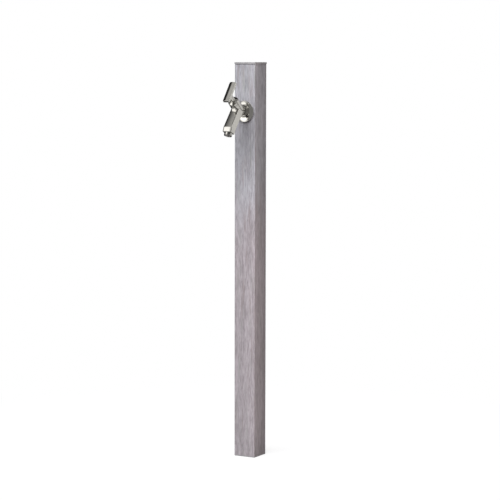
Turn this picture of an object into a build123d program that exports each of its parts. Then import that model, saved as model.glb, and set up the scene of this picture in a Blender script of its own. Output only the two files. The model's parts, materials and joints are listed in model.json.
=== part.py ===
from build123d import *
from math import cos, pi, radians, sin, tan
import os

os.makedirs("parts", exist_ok=True)

# Garden standpipe. Origin at the centre of the post's foot, on the ground.
# +Z is up, the tap is on the -Y side and +X is to the right as one faces it.

# Post
post_side = 70
post_height = 1200
post_wall = 3
post_corner = 1.2
cap_overhang = 1.5
cap_thickness = 5
cap_skirt = 18
cap_skirt_wall = 2.5
cap_edge = 0.8
plug_lip = 3
plug_depth = 22
plug_web = 4
insert_clearance = 0.25
overrun = 2

# Water pipe inside the post
pipe_radius = 11
pipe_bore = 8
socket_radius = 15
socket_length = 50
socket_stop = 2
pipe_clearance = 0.1
spacer_thickness = 3
spacer_collar = 3
spacer_collar_height = 12
spacer_count = 3
spacer_clearance = 0.3
hexagon_sides = 6

# Elbow behind the front wall
tap_drop = 146.5
elbow_leg_radius = 16
elbow_body_radius = 18
elbow_body_edge = 6
elbow_bore = 7
elbow_socket_depth = 22
elbow_roof = 4
insert_radius = 13
insert_bore = 10.5
insert_grip = 16
insert_proud = 6
thread_clearance = 0.1
wall_hole_clearance = 0.3
gasket_thickness = 2
gasket_radius = 17.5
lock_nut_flats = 34
lock_nut_height = 5

# Tap body: inlet, valve chamber and spout
neck_radius = 14.5
shank_grip = 14
inlet_bore = 6.5
neck_bore = 9.5
neck_bore_start = 12
neck_bore_length = 20
flange_front = 10.5
valve_out = 42
valve_rise = 9.2
head_angle = 38
chamber_radius = 16.5
chamber_top = 29.5
neck_overlap = 8
cartridge_bore = 10.5
seat_height = 5
seat_bore = 6
seat_depth = 12
spout_angle = 41
spout_length = 78.5
spout_depth = 24.4
spout_fillet = 1.2
shoulder_length = 22.5
shoulder_width = 16
shoulder_rise = 12
shoulder_taper = 22
tip_angle = 24
tip_length = 13
spout_wall = 4
spout_bore = 5.5
spout_bore_offset = 4
spout_bore_start = 8
spout_hollow_start = 24
spout_hollow_corner = 3
rim_fillet = 1

# Disc that covers the hole in the post
flange_radius = 31.5
flange_foot_radius = 28
flange_brim = 4.6
flange_rim = 6
flange_shell = 1.2
flange_seat_radius = 17
flange_gasket_thickness = 1
flange_gasket_width = 4.5

# Valve cartridge, along the head's axis
seal_thickness = 2
seal_inner = 6.2
seal_outer = 9
cartridge_radius = 9.2
cartridge_inner = 7.6
disc_radius = 7.3
disc_thickness = 3.5
disc_port = 5.8
disc_web = 2.4
face_clearance = 0.05
driver_thickness = 3
driver_key = 2.8
driver_key_height = 1.1
thrust_thickness = 0.8
window_height = 5
window_width = 9
hex_flats = 22
housing_step = 2.4
hex_height = 3.5
cartridge_neck = 7
cartridge_neck_height = 1.5
spindle_radius = 4
running_clearance = 0.05
spindle_groove = 0.9
spindle_ring_count = 2
o_ring_section = 0.45
o_ring_pitch = 4
o_ring_start = 3
housing_ring_section = 0.6
clip_thickness = 0.8
clip_radius = 5.5
clip_gap = 3
clip_groove = 0.8
spindle_reach = 16
spindle_flat = 0.6
body_gap = 0.3

# Bonnet cover and lever
cover_radius = 16
cover_height = 9.5
cover_roof = 2.5
cover_fillet = 1.2
lever_neck = 8
lever_underside = 66.1
lever_width = 22
lever_thickness = 7.5
lever_up = 43.5
lever_down = 27
lever_edge = 2
lever_corner = 3
neck_flare = 1.8
grub_radius = 2.5
grub_length = 4
grub_key = 1.25
grub_height = 9

# Outlet
nozzle_radius = 12.2
nozzle_length = 9.2
nozzle_bore = 7
nozzle_spigot = 9.4
nozzle_spigot_length = 8
nozzle_edge = 0.8
washer_thickness = 1.5
straightener_length = 5
straightener_recess = 1
straightener_hole = 0.8
straightener_pitch = 2.4
straightener_rings = 2
straightener_ring_step = 6

# Planes and directions that the pieces share
post_inner = post_side - 2 * post_wall
tap_height = post_height - tap_drop
sleeve_top = post_height - cap_thickness
head = radians(head_angle)
spout = radians(spout_angle)
tip = radians(tip_angle)
head_dir = Vector(0, -cos(head), sin(head))
head_down = Vector(0, -sin(head), -cos(head))
spout_dir = Vector(0, -sin(spout), -cos(spout))
tip_dir = Vector(0, -sin(tip), -cos(tip))
valve_point = Vector(0, -post_side / 2 - valve_out, tap_height + valve_rise)
outlet_point = valve_point + spout_dir * spout_length + tip_dir * tip_length
inlet_plane = Plane(origin=(0, -post_side / 2, tap_height), x_dir=(1, 0, 0), z_dir=(0, -1, 0))
head_plane = Plane(origin=valve_point, x_dir=head_down, z_dir=head_dir)
spout_plane = Plane(origin=valve_point, x_dir=spout_dir, z_dir=(-1, 0, 0))
outlet_plane = Plane(origin=outlet_point, x_dir=(1, 0, 0), z_dir=tip_dir)
head_axis = Axis(valve_point, head_dir)
hollow_point = spout_plane.from_local_coords((spout_hollow_start, 0))
spout_hollow_plane = Plane(origin=hollow_point, x_dir=(1, 0, 0), z_dir=spout_dir)
bore_point = spout_plane.from_local_coords((spout_bore_start, spout_bore_offset))
spout_bore_plane = Plane(origin=bore_point, x_dir=(1, 0, 0), z_dir=spout_dir)

# Post: a square aluminium tube with a round hole for the tap
with BuildPart() as post_sleeve:
    with BuildSketch(Plane.XY.offset(plug_lip)):
        RectangleRounded(post_side, post_side, post_corner)
        Rectangle(post_inner, post_inner, mode=Mode.SUBTRACT)
    extrude(amount=sleeve_top - plug_lip)
    with BuildSketch(inlet_plane.offset(-post_wall - overrun)):
        Circle(insert_radius + wall_hole_clearance)
    extrude(amount=post_wall + 2 * overrun, mode=Mode.SUBTRACT)
post_sleeve.part.label = "post_sleeve"
export_step(post_sleeve.part, "parts/post_sleeve.step")

# Lid, with a hollow skirt that plugs into the post
cap_side = post_side + 2 * cap_overhang
skirt_side = post_inner - 2 * insert_clearance
with BuildPart() as top_cap:
    with BuildSketch(Plane.XY.offset(sleeve_top)):
        RectangleRounded(cap_side, cap_side, post_corner + cap_overhang)
    extrude(amount=cap_thickness)
    fillet(top_cap.faces().sort_by(Axis.Z)[-1].edges(), radius=cap_edge)
    with BuildSketch(Plane.XY.offset(sleeve_top)):
        Rectangle(skirt_side, skirt_side)
        Rectangle(skirt_side - 2 * cap_skirt_wall, skirt_side - 2 * cap_skirt_wall, mode=Mode.SUBTRACT)
    extrude(amount=-cap_skirt)
top_cap.part.label = "top_cap"
export_step(top_cap.part, "parts/top_cap.step")

# Foot plug: a lip under the post, a skirt inside it and a hole for the pipe socket
with BuildPart() as foot_plug:
    with BuildSketch():
        RectangleRounded(post_side, post_side, post_corner)
    extrude(amount=plug_lip)
    with BuildSketch(Plane.XY.offset(plug_lip)):
        Rectangle(skirt_side, skirt_side)
        Rectangle(skirt_side - 2 * cap_skirt_wall, skirt_side - 2 * cap_skirt_wall, mode=Mode.SUBTRACT)
    extrude(amount=plug_depth - plug_lip)
    with BuildSketch(Plane.XY.offset(plug_lip)):
        Circle(socket_radius + plug_web)
    extrude(amount=plug_depth - plug_lip)
    with BuildSketch():
        Circle(socket_radius + pipe_clearance)
    extrude(amount=plug_depth, mode=Mode.SUBTRACT)
foot_plug.part.label = "foot_plug"
export_step(foot_plug.part, "parts/foot_plug.step")

# Pipe socket at the foot: the riser pipe enters from above, the supply pipe from below
socket_middle = socket_length / 2
with BuildPart() as supply_socket:
    with BuildSketch():
        Circle(socket_radius)
    extrude(amount=socket_length)
    with BuildSketch():
        Circle(pipe_radius + pipe_clearance)
    extrude(amount=socket_middle - socket_stop / 2, mode=Mode.SUBTRACT)
    with BuildSketch(Plane.XY.offset(socket_middle + socket_stop / 2)):
        Circle(pipe_radius + pipe_clearance)
    extrude(amount=socket_middle, mode=Mode.SUBTRACT)
    with BuildSketch():
        Circle(pipe_bore)
    extrude(amount=socket_length, mode=Mode.SUBTRACT)
supply_socket.part.label = "supply_socket"
export_step(supply_socket.part, "parts/supply_socket.step")

# Riser pipe, from the foot socket to the elbow
elbow_socket_top = tap_height - pipe_bore - elbow_roof
pipe_foot = socket_middle + socket_stop / 2
with BuildPart() as riser_pipe:
    with BuildSketch(Plane.XY.offset(pipe_foot)):
        Circle(pipe_radius)
        Circle(pipe_bore, mode=Mode.SUBTRACT)
    extrude(amount=elbow_socket_top - pipe_foot)
riser_pipe.part.label = "riser_pipe"
export_step(riser_pipe.part, "parts/riser_pipe.step")

# Moulded plates with a collar each, which keep the pipe in the middle
spacer_side = post_inner - 2 * spacer_clearance
spacer_pitch = elbow_socket_top / (spacer_count + 1)
with BuildPart() as pipe_spacers:
    for number in range(1, spacer_count + 1):
        with BuildSketch(Plane.XY.offset(number * spacer_pitch)):
            Rectangle(spacer_side, spacer_side)
            Circle(pipe_radius + pipe_clearance, mode=Mode.SUBTRACT)
        extrude(amount=spacer_thickness)
        with BuildSketch(Plane.XY.offset(number * spacer_pitch)):
            Circle(pipe_radius + pipe_clearance + spacer_collar)
            Circle(pipe_radius + pipe_clearance, mode=Mode.SUBTRACT)
        extrude(amount=spacer_collar_height)
pipe_spacers.part.label = "pipe_spacers"
export_step(pipe_spacers.part, "parts/pipe_spacers.step")

# Elbow: a pipe socket below and a leg that meets the front wall through a gasket
leg_front = -post_wall - gasket_thickness
insert_back = leg_front - insert_grip
axis_depth = -post_side / 2
with BuildPart() as tap_elbow:
    with BuildSketch(Plane.XY.offset(tap_height - elbow_body_radius)):
        Circle(elbow_body_radius)
    extrude(amount=2 * elbow_body_radius)
    fillet(tap_elbow.faces().sort_by(Axis.Z)[-1].edges(), radius=elbow_body_edge)
    with BuildSketch(Plane.XY.offset(elbow_socket_top - elbow_socket_depth)):
        Circle(socket_radius)
    extrude(amount=elbow_socket_depth)
    with BuildSketch(inlet_plane.offset(axis_depth)):
        Circle(elbow_leg_radius)
    extrude(amount=leg_front - axis_depth)
    with BuildSketch(Plane.XY.offset(elbow_socket_top - elbow_socket_depth)):
        Circle(pipe_radius + pipe_clearance)
    extrude(amount=elbow_socket_depth, mode=Mode.SUBTRACT)
    with BuildSketch(Plane.XY.offset(elbow_socket_top)):
        Circle(pipe_bore)
    extrude(amount=tap_height + pipe_bore - elbow_socket_top, mode=Mode.SUBTRACT)
    with BuildSketch(inlet_plane.offset(axis_depth)):
        Circle(elbow_bore)
    extrude(amount=insert_back - axis_depth, mode=Mode.SUBTRACT)
    with BuildSketch(inlet_plane.offset(insert_back)):
        Circle(insert_radius)
    extrude(amount=insert_grip, mode=Mode.SUBTRACT)
tap_elbow.part.label = "tap_elbow"
export_step(tap_elbow.part, "parts/tap_elbow.step")

# Brass bush in the elbow, which comes through the wall and takes the tap's thread
with BuildPart() as elbow_insert:
    with BuildSketch(inlet_plane.offset(insert_back)):
        Circle(insert_radius)
        Circle(insert_bore, mode=Mode.SUBTRACT)
    extrude(amount=insert_proud - insert_back)
elbow_insert.part.label = "elbow_insert"
export_step(elbow_insert.part, "parts/elbow_insert.step")

with BuildPart() as elbow_gasket:
    with BuildSketch(inlet_plane.offset(leg_front)):
        Circle(gasket_radius)
        Circle(insert_radius + thread_clearance, mode=Mode.SUBTRACT)
    extrude(amount=gasket_thickness)
elbow_gasket.part.label = "elbow_gasket"
export_step(elbow_gasket.part, "parts/elbow_gasket.step")

with BuildPart() as elbow_lock_nut:
    with BuildSketch(inlet_plane):
        RegularPolygon(radius=lock_nut_flats / 2, side_count=hexagon_sides, major_radius=False)
        Circle(insert_radius + thread_clearance, mode=Mode.SUBTRACT)
    extrude(amount=lock_nut_height)
elbow_lock_nut.part.label = "elbow_lock_nut"
export_step(elbow_lock_nut.part, "parts/elbow_lock_nut.step")

# Disc round the inlet, pressed from sheet: a shallow cone whose brim stands off the post
shank_radius = insert_bore - thread_clearance
side_plane = Plane(origin=inlet_plane.origin, x_dir=(0, -1, 0), z_dir=(-1, 0, 0))
flange_axis = Axis(inlet_plane.origin, inlet_plane.z_dir)
with BuildPart() as escutcheon:
    with BuildSketch(side_plane):
        with BuildLine():
            Polyline(
                (flange_gasket_thickness, flange_foot_radius),
                (flange_brim, flange_radius),
                (flange_rim, flange_radius),
                (flange_front, flange_seat_radius),
                (flange_front, shank_radius + thread_clearance),
                (flange_front - flange_shell, shank_radius + thread_clearance),
                (flange_front - flange_shell, flange_seat_radius),
                (flange_brim, flange_radius - flange_shell),
                (flange_gasket_thickness, flange_foot_radius - flange_shell),
                close=True,
            )
        make_face()
    revolve(axis=flange_axis)
    widest_rims = escutcheon.edges().filter_by(GeomType.CIRCLE).group_by(SortBy.RADIUS)[-1]
    fillet(widest_rims.sort_by(Axis.Y)[0], radius=rim_fillet)
escutcheon.part.label = "escutcheon"
export_step(escutcheon.part, "parts/escutcheon.step")

with BuildPart() as escutcheon_gasket:
    with BuildSketch(inlet_plane):
        Circle(flange_foot_radius - body_gap)
        Circle(flange_foot_radius - flange_gasket_width, mode=Mode.SUBTRACT)
    extrude(amount=flange_gasket_thickness)
escutcheon_gasket.part.label = "escutcheon_gasket"
export_step(escutcheon_gasket.part, "parts/escutcheon_gasket.step")

# Tap body. The spout's outline lies in the plane of symmetry; its bend is mitred
half_depth = spout_depth / 2
bend = spout - tip
mitre = half_depth * tan(bend / 2)
shoulder_point = spout_plane.from_local_coords((shoulder_length / 2, half_depth))
shoulder_plane = Plane(origin=shoulder_point, x_dir=(1, 0, 0), z_dir=spout_plane.y_dir)
tip_end = (spout_length + tip_length * cos(bend), -tip_length * sin(bend))
tip_front = (tip_end[0] + half_depth * sin(bend), tip_end[1] + half_depth * cos(bend))
tip_back = (tip_end[0] - half_depth * sin(bend), tip_end[1] - half_depth * cos(bend))
recess_depth = nozzle_spigot_length + washer_thickness
hollow_width = 2 * (neck_radius - spout_wall)
hollow_depth = spout_depth - 2 * spout_wall
with BuildPart() as tap_body:
    with BuildSketch(spout_plane):
        with BuildLine():
            Polyline(
                (0, -half_depth),
                (spout_length - mitre, -half_depth),
                tip_back,
                tip_front,
                (spout_length + mitre, half_depth),
                (0, half_depth),
                close=True,
            )
        make_face()
    extrude(amount=neck_radius, both=True)
    long_edges = tap_body.edges().filter_by(Axis((0, 0, 0), spout_dir))
    tip_edges = tap_body.edges().filter_by(Axis((0, 0, 0), tip_dir))
    fillet(long_edges + tip_edges, radius=spout_fillet)
    with BuildSketch(shoulder_plane):
        Rectangle(shoulder_width, shoulder_length)
    extrude(amount=shoulder_rise, taper=shoulder_taper)
    with BuildSketch(head_plane):
        Circle(chamber_radius)
    extrude(amount=chamber_top)
    with BuildSketch(Plane(origin=valve_point, x_dir=head_dir, z_dir=(-1, 0, 0))):
        with BuildLine():
            CenterArc((0, 0), chamber_radius, 90, 90)
            Line((-chamber_radius, 0), (0, 0))
            Line((0, 0), (0, chamber_radius))
        make_face()
    revolve(axis=head_axis)
    with BuildSketch(inlet_plane.offset(flange_front)):
        Circle(neck_radius)
    extrude(amount=valve_out + neck_overlap - flange_front)
    with BuildSketch(inlet_plane.offset(-shank_grip)):
        Circle(shank_radius)
    extrude(amount=shank_grip + flange_front)
    with BuildSketch(inlet_plane.offset(-shank_grip)):
        Circle(inlet_bore)
    extrude(amount=shank_grip + valve_out, mode=Mode.SUBTRACT)
    with BuildSketch(inlet_plane.offset(neck_bore_start)):
        Circle(neck_bore)
    extrude(amount=neck_bore_length, mode=Mode.SUBTRACT)
    with BuildSketch(head_plane.offset(seat_height)):
        Circle(cartridge_bore)
    extrude(amount=chamber_top, mode=Mode.SUBTRACT)
    with BuildSketch(head_plane.offset(-seat_depth)):
        Circle(seat_bore)
    extrude(amount=seat_depth + seat_height, mode=Mode.SUBTRACT)
    with BuildSketch(spout_bore_plane):
        Circle(spout_bore)
    extrude(amount=spout_hollow_start, mode=Mode.SUBTRACT)
    with BuildSketch(spout_hollow_plane):
        RectangleRounded(hollow_width, hollow_depth, spout_hollow_corner)
    extrude(amount=spout_length - spout_hollow_start - mitre, mode=Mode.SUBTRACT)
    with BuildSketch(outlet_plane):
        Circle(hollow_depth / 2)
    extrude(amount=-tip_length, mode=Mode.SUBTRACT)
    with Locations(outlet_point - tip_dir * tip_length):
        Sphere(hollow_depth / 2, mode=Mode.SUBTRACT)
    with BuildSketch(outlet_plane):
        Circle(nozzle_spigot + thread_clearance)
    extrude(amount=-recess_depth, mode=Mode.SUBTRACT)
tap_body.part.label = "tap_body"
export_step(tap_body.part, "parts/tap_body.step")

# Heights along the head's axis, from the middle of the valve chamber
seal_top = seat_height + seal_thickness
fixed_top = seal_top + disc_thickness
moving_base = fixed_top + face_clearance
moving_top = moving_base + disc_thickness
driver_top = moving_top + driver_thickness
thrust_base = driver_top + face_clearance
shoulder_height = thrust_base + thrust_thickness
hex_top = chamber_top + hex_height
cartridge_top = hex_top + cartridge_neck_height
clip_base = cartridge_top + face_clearance
clip_top = clip_base + clip_thickness
spindle_top = clip_top + spindle_reach
lever_base = clip_top + body_gap
thread_base = shoulder_height + housing_step

with BuildPart() as seat_seal:
    with BuildSketch(head_plane.offset(seat_height)):
        Circle(seal_outer)
        Circle(seal_inner, mode=Mode.SUBTRACT)
    extrude(amount=seal_thickness)
seat_seal.part.label = "seat_seal"
export_step(seat_seal.part, "parts/seat_seal.step")


def disc_ports():
    """Two opposite quarter sectors that water passes through."""
    with BuildSketch() as ports:
        Circle(disc_port)
        Circle(disc_web, mode=Mode.SUBTRACT)
        Polygon((0, 0), (disc_port, disc_port), (-disc_port, disc_port), align=None, mode=Mode.SUBTRACT)
        Polygon((0, 0), (-disc_port, -disc_port), (disc_port, -disc_port), align=None, mode=Mode.SUBTRACT)
    return ports.sketch


# Ceramic discs. At rest the openings are a quarter turn apart, so the valve is shut
with BuildPart() as fixed_disc:
    with BuildSketch(head_plane.offset(seal_top)):
        Circle(cartridge_inner - thread_clearance)
        add(disc_ports(), mode=Mode.SUBTRACT)
    extrude(amount=disc_thickness)
fixed_disc.part.label = "fixed_disc"
export_step(fixed_disc.part, "parts/fixed_disc.step")

quarter_turn = 90
with BuildPart() as moving_disc:
    with BuildSketch(head_plane.offset(moving_base)):
        Circle(disc_radius)
        add(disc_ports(), rotation=quarter_turn, mode=Mode.SUBTRACT)
    extrude(amount=disc_thickness)
    with BuildSketch(head_plane.offset(moving_top)):
        Rectangle(2 * disc_radius, driver_key + 2 * face_clearance)
    extrude(amount=-driver_key_height - face_clearance, mode=Mode.SUBTRACT)
moving_disc.part.label = "moving_disc"
export_step(moving_disc.part, "parts/moving_disc.step")

# Spindle: a driver with a key, two ring grooves, a clip groove and a flat for the grub screw
ring_base = shoulder_height + o_ring_start
ring_heights = [ring_base + number * o_ring_pitch for number in range(spindle_ring_count)]
groove_radius = spindle_radius - spindle_groove
with BuildPart() as spindle:
    with BuildSketch(head_plane.offset(moving_top)):
        Circle(disc_radius)
    extrude(amount=driver_thickness)
    with BuildSketch(head_plane.offset(moving_top)):
        Rectangle(2 * disc_radius - 2 * body_gap, driver_key)
    extrude(amount=-driver_key_height)
    with BuildSketch(head_plane.offset(driver_top)):
        Circle(spindle_radius)
    extrude(amount=spindle_top - driver_top)
    for ring_height in ring_heights:
        with BuildSketch(head_plane.offset(ring_height - o_ring_section)):
            Circle(spindle_radius + overrun)
            Circle(groove_radius, mode=Mode.SUBTRACT)
        extrude(amount=2 * o_ring_section, mode=Mode.SUBTRACT)
    with BuildSketch(head_plane.offset(clip_base)):
        Circle(spindle_radius + overrun)
        Circle(spindle_radius - clip_groove, mode=Mode.SUBTRACT)
    extrude(amount=clip_thickness, mode=Mode.SUBTRACT)
    with BuildSketch(head_plane.offset(clip_top)):
        with Locations((-spindle_radius, 0)):
            Rectangle(2 * spindle_flat, 2 * spindle_radius)
    extrude(amount=spindle_reach, mode=Mode.SUBTRACT)
spindle.part.label = "spindle"
export_step(spindle.part, "parts/spindle.step")

with BuildPart() as spindle_o_rings:
    for ring_height in ring_heights:
        with BuildSketch(Plane(origin=valve_point, x_dir=head_dir, z_dir=(-1, 0, 0))):
            with Locations((ring_height, groove_radius + o_ring_section)):
                Circle(o_ring_section)
        revolve(axis=head_axis)
spindle_o_rings.part.label = "spindle_o_rings"
export_step(spindle_o_rings.part, "parts/spindle_o_rings.step")

with BuildPart() as spindle_clip:
    with BuildSketch(head_plane.offset(clip_base)):
        Circle(clip_radius)
        Circle(spindle_radius - clip_groove + face_clearance, mode=Mode.SUBTRACT)
        with Locations((clip_radius, 0)):
            Rectangle(2 * clip_radius, clip_gap, mode=Mode.SUBTRACT)
    extrude(amount=clip_thickness)
spindle_clip.part.label = "spindle_clip"
export_step(spindle_clip.part, "parts/spindle_clip.step")

with BuildPart() as thrust_washer:
    with BuildSketch(head_plane.offset(thrust_base)):
        Circle(cartridge_inner - thread_clearance)
        Circle(spindle_radius + body_gap, mode=Mode.SUBTRACT)
    extrude(amount=thrust_thickness)
thrust_washer.part.label = "thrust_washer"
export_step(thrust_washer.part, "parts/thrust_washer.step")

# Valve housing: it screws into the chamber and holds the discs and the spindle
with BuildPart() as cartridge_body:
    with BuildSketch(head_plane.offset(seal_top)):
        Circle(cartridge_radius)
    extrude(amount=chamber_top - seal_top)
    with BuildSketch(head_plane.offset(thread_base)):
        Circle(cartridge_bore - thread_clearance)
    extrude(amount=chamber_top - thread_base)
    with BuildSketch(head_plane.offset(chamber_top)):
        RegularPolygon(radius=hex_flats / 2, side_count=hexagon_sides, major_radius=False)
    extrude(amount=hex_height)
    with BuildSketch(head_plane.offset(hex_top)):
        Circle(cartridge_neck)
    extrude(amount=cartridge_neck_height)
    with BuildSketch(head_plane.offset(seal_top)):
        Circle(cartridge_inner)
    extrude(amount=shoulder_height - seal_top, mode=Mode.SUBTRACT)
    with BuildSketch(head_plane.offset(shoulder_height)):
        Circle(spindle_radius + running_clearance)
    extrude(amount=cartridge_top - shoulder_height, mode=Mode.SUBTRACT)
    with BuildSketch(head_plane.offset(fixed_top)):
        Rectangle(window_width, 2 * cartridge_radius + 2 * overrun)
    extrude(amount=window_height, mode=Mode.SUBTRACT)
cartridge_body.part.label = "cartridge_body"
export_step(cartridge_body.part, "parts/cartridge_body.step")

with BuildPart() as cartridge_o_ring:
    with BuildSketch(Plane(origin=valve_point, x_dir=head_dir, z_dir=(-1, 0, 0))):
        with Locations((thread_base - housing_ring_section, (cartridge_radius + cartridge_bore) / 2)):
            Circle(housing_ring_section)
    revolve(axis=head_axis)
cartridge_o_ring.part.label = "cartridge_o_ring"
export_step(cartridge_o_ring.part, "parts/cartridge_o_ring.step")

# Bonnet cover: a round cap pushed over the housing's hexagon, with a hole for the lever's neck
cover_inner = hex_flats / 2 / cos(pi / hexagon_sides) + running_clearance
with BuildPart() as bonnet_cover:
    with BuildSketch(head_plane.offset(chamber_top)):
        Circle(cover_radius)
    extrude(amount=cover_height)
    fillet(bonnet_cover.faces().sort_by(head_axis)[-1].edges(), radius=cover_fillet)
    with BuildSketch(head_plane.offset(chamber_top)):
        Circle(cover_inner)
    extrude(amount=cover_height - cover_roof, mode=Mode.SUBTRACT)
    with BuildSketch(head_plane.offset(chamber_top)):
        Circle(lever_neck + body_gap)
    extrude(amount=cover_height + overrun, mode=Mode.SUBTRACT)
bonnet_cover.part.label = "bonnet_cover"
export_step(bonnet_cover.part, "parts/bonnet_cover.step")

# Lever: a flat bar on a round neck, cast in one, with a socket that fits the spindle
grub_point = valve_point + head_dir * (clip_top + grub_height)
grub_plane = Plane(origin=grub_point, x_dir=(1, 0, 0), z_dir=-head_down)
flat_depth = spindle_radius - spindle_flat
socket_flat = spindle_flat - running_clearance
with BuildPart() as lever_handle:
    with BuildSketch(head_plane.offset(lever_underside)):
        with Locations(((lever_down - lever_up) / 2, 0)):
            RectangleRounded(lever_up + lever_down, lever_width, lever_corner)
    extrude(amount=lever_thickness)
    fillet(lever_handle.faces().sort_by(head_axis)[-1].edges(), radius=lever_edge)
    with BuildSketch(head_plane.offset(lever_base)):
        Circle(lever_neck)
    extrude(amount=lever_underside - lever_base)
    neck_rims = lever_handle.edges().filter_by(GeomType.CIRCLE).sort_by(head_axis)
    fillet(neck_rims.filter_by(lambda rim: abs(rim.radius - lever_neck) < thread_clearance)[-1], neck_flare)
    with BuildSketch(head_plane.offset(lever_base)):
        Circle(spindle_radius + running_clearance)
        with Locations((-spindle_radius, 0)):
            Rectangle(2 * socket_flat, 2 * spindle_radius + overrun, mode=Mode.SUBTRACT)
    extrude(amount=spindle_top + body_gap - lever_base, mode=Mode.SUBTRACT)
    with BuildSketch(grub_plane.offset(flat_depth)):
        Circle(grub_radius)
    extrude(amount=lever_neck, mode=Mode.SUBTRACT)
lever_handle.part.label = "lever_handle"
export_step(lever_handle.part, "parts/lever_handle.step")

with BuildPart() as grub_screw:
    with BuildSketch(grub_plane.offset(flat_depth)):
        Circle(grub_radius)
    extrude(amount=grub_length)
    with BuildSketch(grub_plane.offset(flat_depth + grub_length)):
        RegularPolygon(radius=grub_key, side_count=hexagon_sides, major_radius=False)
    extrude(amount=-grub_length / 2, mode=Mode.SUBTRACT)
grub_screw.part.label = "grub_screw"
export_step(grub_screw.part, "parts/grub_screw.step")

# Outlet: a screwed mouthpiece with a washer above it and a pierced insert inside
with BuildPart() as outlet_nozzle:
    with BuildSketch(outlet_plane):
        Circle(nozzle_radius)
    extrude(amount=nozzle_length)
    fillet(outlet_nozzle.faces().sort_by(Axis(outlet_point, tip_dir))[-1].edges(), radius=nozzle_edge)
    with BuildSketch(outlet_plane):
        Circle(nozzle_spigot)
    extrude(amount=-nozzle_spigot_length)
    with BuildSketch(outlet_plane.offset(-nozzle_spigot_length)):
        Circle(nozzle_bore)
    extrude(amount=nozzle_spigot_length + nozzle_length, mode=Mode.SUBTRACT)
outlet_nozzle.part.label = "outlet_nozzle"
export_step(outlet_nozzle.part, "parts/outlet_nozzle.step")

with BuildPart() as nozzle_washer:
    with BuildSketch(outlet_plane.offset(-recess_depth)):
        Circle(nozzle_spigot)
        Circle(nozzle_bore, mode=Mode.SUBTRACT)
    extrude(amount=washer_thickness)
nozzle_washer.part.label = "nozzle_washer"
export_step(nozzle_washer.part, "parts/nozzle_washer.step")

straightener_base = nozzle_length - straightener_recess - straightener_length
with BuildPart() as flow_straightener:
    with BuildSketch(outlet_plane.offset(straightener_base)):
        Circle(nozzle_bore - running_clearance)
        Circle(straightener_hole, mode=Mode.SUBTRACT)
        for ring in range(1, straightener_rings + 1):
            with PolarLocations(ring * straightener_pitch, ring * straightener_ring_step):
                Circle(straightener_hole, mode=Mode.SUBTRACT)
    extrude(amount=straightener_length)
flow_straightener.part.label = "flow_straightener"
export_step(flow_straightener.part, "parts/flow_straightener.step")
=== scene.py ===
"""Garden standpipe: a square post with a printed wood grain and a quarter-turn lever tap near its top."""

import json
import logging
import math
from collections.abc import Callable
from dataclasses import dataclass, field, replace
from enum import Enum

import bpy
from mathutils import Matrix, Vector


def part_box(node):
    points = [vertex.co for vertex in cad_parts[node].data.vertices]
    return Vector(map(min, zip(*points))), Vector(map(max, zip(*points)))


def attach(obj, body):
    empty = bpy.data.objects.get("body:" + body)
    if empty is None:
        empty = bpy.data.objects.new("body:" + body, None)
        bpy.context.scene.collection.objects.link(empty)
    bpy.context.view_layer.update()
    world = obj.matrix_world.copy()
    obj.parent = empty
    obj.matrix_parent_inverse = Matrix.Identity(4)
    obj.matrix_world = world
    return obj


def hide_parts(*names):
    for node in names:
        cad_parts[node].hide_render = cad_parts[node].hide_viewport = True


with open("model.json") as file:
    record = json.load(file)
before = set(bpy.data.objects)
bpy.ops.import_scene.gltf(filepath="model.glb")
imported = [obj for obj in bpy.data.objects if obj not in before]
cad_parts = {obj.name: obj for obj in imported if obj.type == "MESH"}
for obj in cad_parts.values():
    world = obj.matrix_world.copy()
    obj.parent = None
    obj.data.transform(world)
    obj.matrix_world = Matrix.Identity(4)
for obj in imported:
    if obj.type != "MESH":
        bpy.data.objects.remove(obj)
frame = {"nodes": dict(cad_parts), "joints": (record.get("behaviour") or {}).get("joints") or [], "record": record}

log = logging.getLogger("standpipe")
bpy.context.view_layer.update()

MM = 0.001
# Places nearer to each other than NEAR count as the same; points nearer than MERGE are merged.
NEAR = 0.01 * MM
MERGE = 0.002 * MM
# Decimals of a metre to which places are rounded before they are sorted.
PLACE_DIGITS = 5
# How far a piece that is joined to another, or cut out of it, reaches past the face they share.
OVERLAP = 1 * MM
# Facets of a whole ring, a small rounded edge, a fillet and a bowl.
RING_STEPS = 96
EDGE_STEPS = 5
FILLET_STEPS = 6
BOWL_STEPS = 16
# The middle of a noise's range.
MIDDLE = 0.5
Triple = tuple[float, float, float]
Colour = Triple
Ring = tuple[float, float]
Node = bpy.types.Node
Socket = bpy.types.NodeSocket


class Body(Enum):
    """The two bodies of the standpipe: what stands still and what the hand turns."""

    STANDPIPE = "standpipe"
    LEVER = "lever"


class Slot(Enum):
    """The finishes that the record names."""

    WOOD_GRAIN = "wood_grain_sleeve"
    GREY_CAP = "grey_cap"
    PIPE_RESIN = "pipe_resin"
    SPACER_RESIN = "spacer_resin"
    RAW_BRASS = "raw_brass"
    BLACK_RUBBER = "black_rubber"
    SATIN_METAL = "satin_metal"
    CERAMIC = "ceramic"
    WHITE_RESIN = "white_resin"
    STEEL = "steel"


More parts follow.
